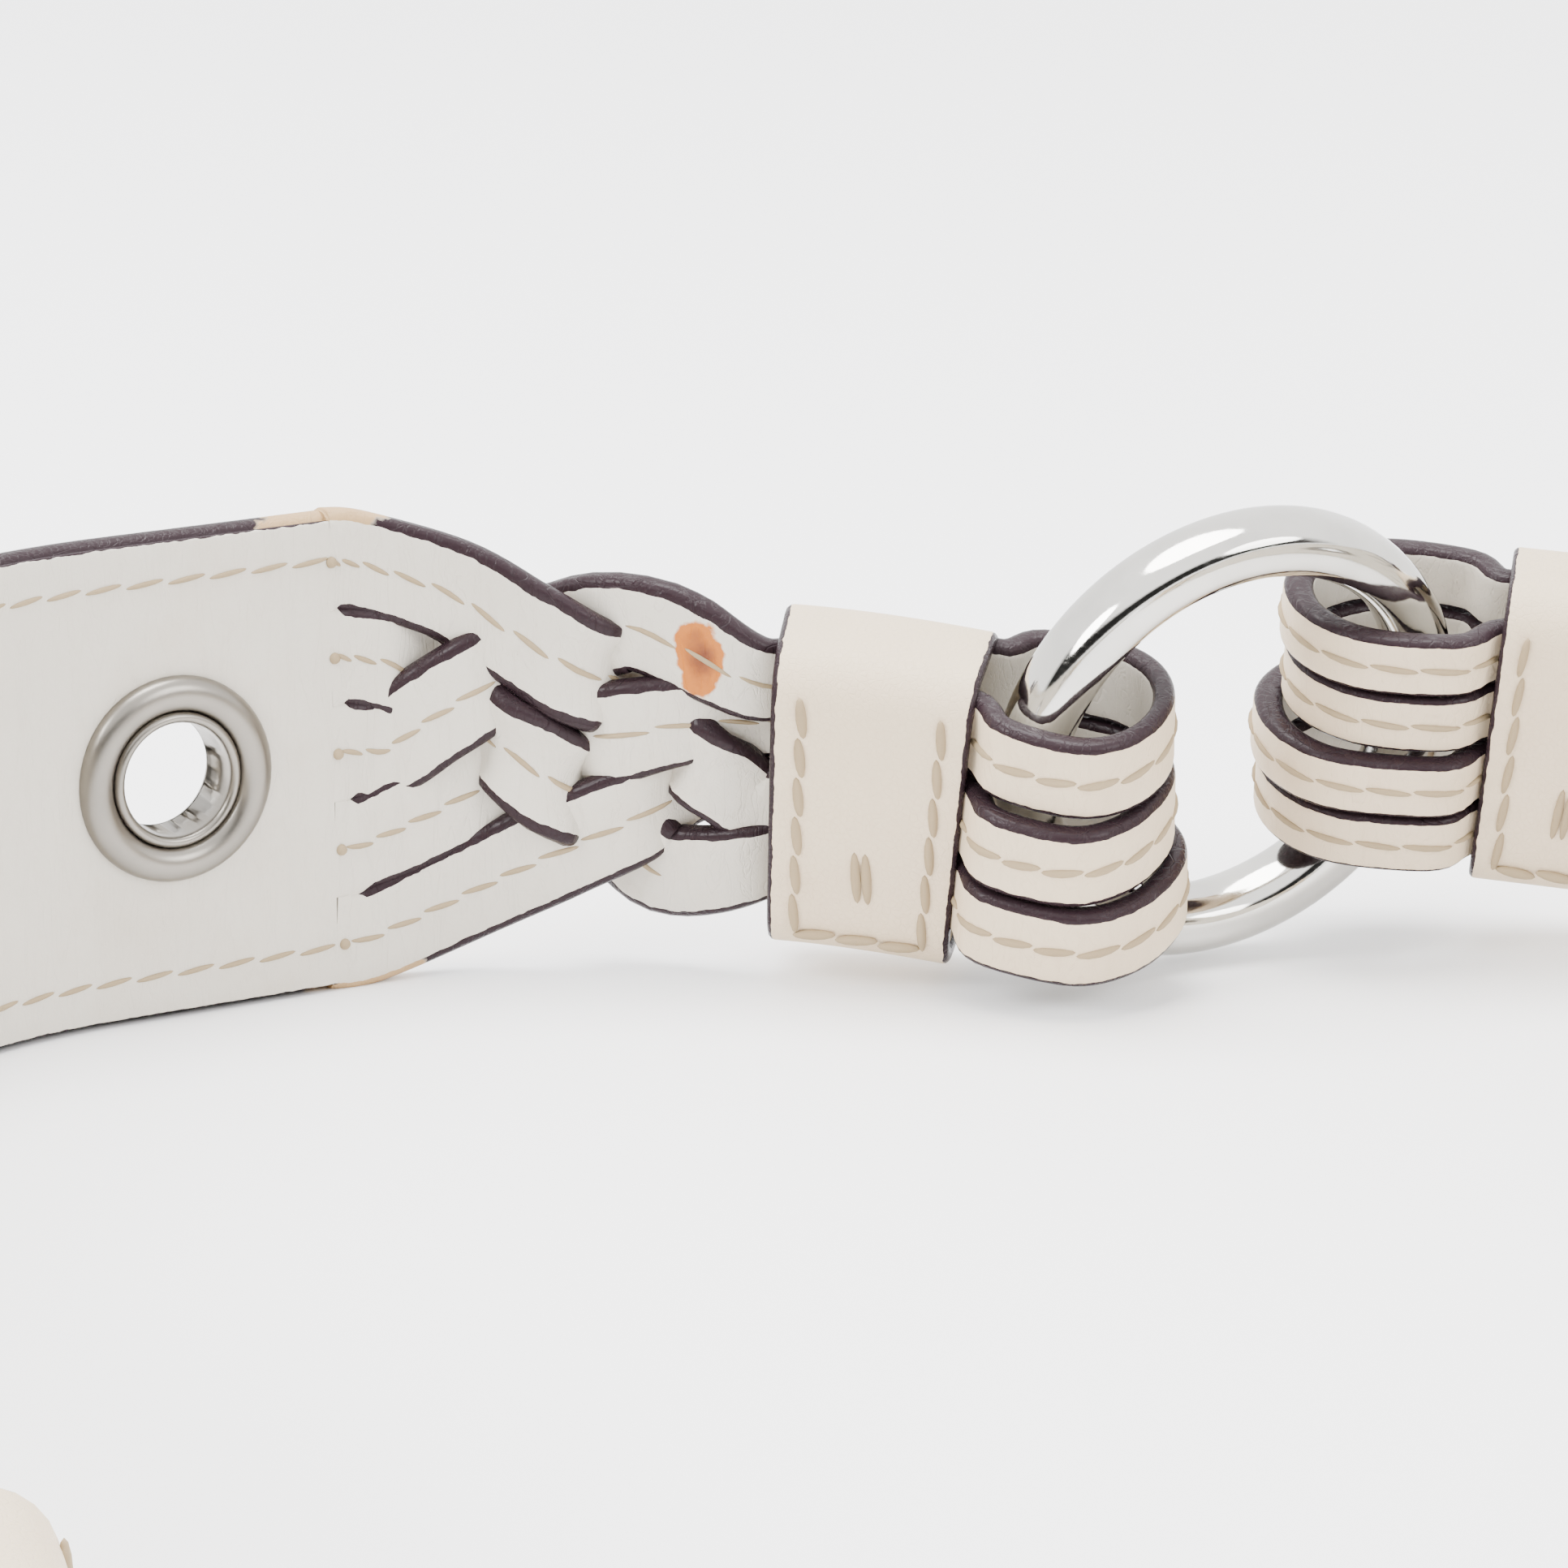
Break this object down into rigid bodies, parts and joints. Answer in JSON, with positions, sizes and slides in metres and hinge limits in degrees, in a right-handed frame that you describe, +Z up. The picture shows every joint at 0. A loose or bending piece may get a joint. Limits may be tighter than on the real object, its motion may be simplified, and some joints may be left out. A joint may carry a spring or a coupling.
{
  "type": "braided leather belt",
  "caption": "Wide leather belt laid out standing on its edge: strap sections with eyelets, braided ends hung on metal rings, a prong buckle and a pointed billet.",
  "frame": {"origin": "centre of the bounding box's base, on the surface that the belt's lower edge stands on", "axes": "+Z up across the strap's width, +Y along the belt loop's longer side away from the billet, +X towards the buckle side"},
  "size_m": [0.2324, 0.4396, 0.0474],
  "materials": {
    "lining_leather": "smooth off-white lining leather, painted dark edges, pale thread",
    "cream_leather": "fine-grained warm cream leather, painted dark edges, beige thread",
    "polished_nickel": "polished nickel with light scratches",
    "brushed_nickel": "brushed antique nickel with worn rims"
  },
  "bodies": {
    "center": {"center_outer": "cream_leather", "center_lining": "lining_leather", "center_right_strip_1": "lining_leather", "center_right_strip_2": "lining_leather", "center_right_strip_3": "lining_leather", "center_right_strip_4": "lining_leather", "center_right_strip_5": "lining_leather", "center_right_keeper": "cream_leather", "center_left_strip_1": "lining_leather", "center_left_strip_2": "lining_leather", "center_left_strip_3": "lining_leather", "center_left_strip_4": "lining_leather", "center_left_strip_5": "lining_leather", "center_left_keeper": "cream_leather", "center_eyelet_1_grommet": "brushed_nickel", "center_eyelet_1_washer": "brushed_nickel", "center_eyelet_2_grommet": "brushed_nickel", "center_eyelet_2_washer": "brushed_nickel", "center_eyelet_3_grommet": "brushed_nickel", "center_eyelet_3_washer": "brushed_nickel"},
    "right_ring": {"ring_right": "polished_nickel"},
    "buckle_side": {"buckle_side_strip_1": "lining_leather", "buckle_side_strip_2": "lining_leather", "buckle_side_strip_3": "lining_leather", "buckle_side_strip_4": "lining_leather", "buckle_side_strip_5": "lining_leather", "buckle_side_keeper": "cream_leather", "buckle_side_outer": "cream_leather", "buckle_side_lining": "lining_leather", "buckle_side_eyelet_grommet": "brushed_nickel", "buckle_side_eyelet_washer": "brushed_nickel", "buckle_tab": "cream_leather", "fixed_strap_loop": "cream_leather"},
    "buckle_frame": {"buckle_frame": "polished_nickel"},
    "prong": {"buckle_prong": "polished_nickel"},
    "sliding_loop": {"sliding_strap_loop": "cream_leather"},
    "left_ring": {"ring_left": "polished_nickel"},
    "billet_side": {"billet_side_strip_1": "lining_leather", "billet_side_strip_2": "lining_leather", "billet_side_strip_3": "lining_leather", "billet_side_strip_4": "lining_leather", "billet_side_strip_5": "lining_leather", "billet_side_keeper": "cream_leather", "billet_side_outer": "cream_leather", "billet_side_lining": "lining_leather", "billet_eyelet_1_grommet": "brushed_nickel", "billet_eyelet_1_washer": "brushed_nickel", "billet_eyelet_2_grommet": "brushed_nickel", "billet_eyelet_2_washer": "brushed_nickel", "billet_eyelet_3_grommet": "brushed_nickel", "billet_eyelet_3_washer": "brushed_nickel", "billet_eyelet_4_grommet": "brushed_nickel", "billet_eyelet_4_washer": "brushed_nickel"}
  },
  "joints": [
    {"name": "ring_right_swing", "type": "hinge", "parent": "center", "child": "right_ring", "pos_m": [0.00008, 0.18858, 0.02368], "axis": [0.0628, -0.3019, 0.9513], "range_deg": [-20, 3]},
    {"name": "buckle_side_swing", "type": "hinge", "parent": "right_ring", "child": "buckle_side", "pos_m": [0.03697, 0.20738, 0.02368], "axis": [0.0649, -0.2872, 0.9557], "range_deg": [-20, 60]},
    {"name": "ring_left_swing", "type": "hinge", "parent": "center", "child": "left_ring", "pos_m": [-0.06713, -0.05681, 0.0238], "axis": [0, 0, 1], "range_deg": [-3, 50]},
    {"name": "billet_side_swing", "type": "hinge", "parent": "left_ring", "child": "billet_side", "pos_m": [-0.0833, -0.09492, 0.0238], "axis": [0, 0, 1], "range_deg": [-70, 5]},
    {"name": "buckle_frame_swing", "type": "hinge", "parent": "buckle_side", "child": "buckle_frame", "pos_m": [0.10094, 0.0103, 0.02275], "axis": [0, 0, 1], "range_deg": [-90, 90]},
    {"name": "buckle_prong_swing", "type": "hinge", "parent": "buckle_frame", "child": "prong", "pos_m": [0.10094, 0.0103, 0.02275], "axis": [0, 0, 1], "range_deg": [0, 100]},
    {"name": "sliding_loop_slide", "type": "slide", "parent": "buckle_side", "child": "sliding_loop", "axis": [0, -1, 0], "range_m": [-0.003, 0.013]}
  ]
}
